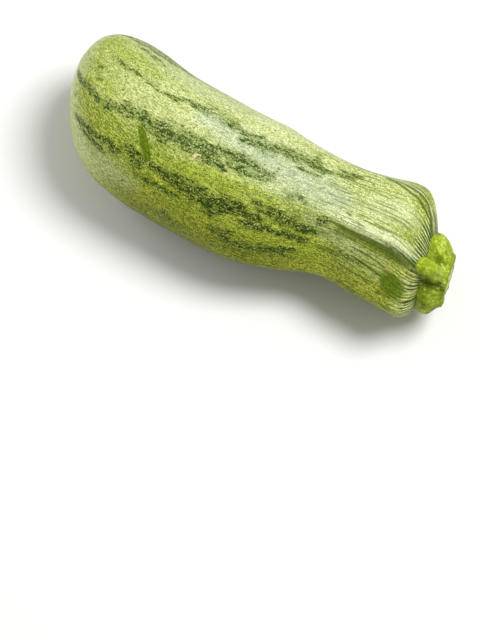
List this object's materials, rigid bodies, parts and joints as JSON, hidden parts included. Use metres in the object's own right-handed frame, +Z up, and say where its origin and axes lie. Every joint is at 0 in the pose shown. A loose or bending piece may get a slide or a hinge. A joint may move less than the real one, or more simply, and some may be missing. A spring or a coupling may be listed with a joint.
{
  "type": "zucchini",
  "caption": "Pale mottled zucchini, whole, with a cut stub of stem, lying on its belly.",
  "frame": {"origin": "centre of the footprint, on the surface that the fruit lies on", "axes": "+X along the fruit from its blossom end to its stem, +Y to the side that both ends bend to, +Z up"},
  "size_m": [0.1642, 0.0622, 0.054],
  "materials": {
    "skin": "smooth waxy living skin, pale green with fine speckle and broken dark green stripes",
    "stem": "ribbed green rind, matte, with a pale moist cut face"
  },
  "bodies": {
    "root": {"fruit": "skin", "stem": "stem"}
  },
  "joints": []
}
